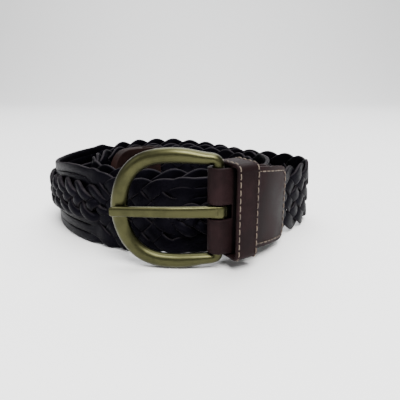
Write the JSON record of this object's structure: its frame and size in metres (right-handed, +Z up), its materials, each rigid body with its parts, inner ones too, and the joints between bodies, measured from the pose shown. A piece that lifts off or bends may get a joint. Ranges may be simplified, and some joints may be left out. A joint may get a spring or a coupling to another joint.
{
  "type": "braided leather belt",
  "caption": "Coiled braided leather belt on its edge, with a hinged horseshoe buckle and prong, a leather keeper loop and leather end tabs.",
  "frame": {"origin": "centre of the belt's plan box, on the surface that it stands on", "axes": "+Z up; -Y is the front, where the buckle is; the buckle's frame points to -X"},
  "size_m": [0.1476, 0.1478, 0.0515],
  "materials": {
    "braid_leather": "dark brown, nearly black, lightly worn leather laces",
    "tab_leather": "smooth dark reddish brown leather with a dull sheen",
    "old_brass": "aged olive brass, rubbed bright on the high places"
  },
  "bodies": {
    "strap": {"braided_strap": "braid_leather", "buckle_tab": "tab_leather", "keeper_loop": "tab_leather", "end_tab": "tab_leather"},
    "frame": {"buckle_frame": "old_brass"},
    "prong": {"buckle_prong": "old_brass"}
  },
  "joints": [
    {"name": "frame_swing", "type": "hinge", "parent": "strap", "child": "frame", "pos_m": [0.01949, -0.06666, 0.02575], "axis": [0, 0, 1], "range_deg": [0, 45]},
    {"name": "prong_lift", "type": "hinge", "parent": "frame", "child": "prong", "pos_m": [0.01949, -0.06666, 0.02575], "axis": [0, 0, 1], "range_deg": [0, 35]}
  ]
}
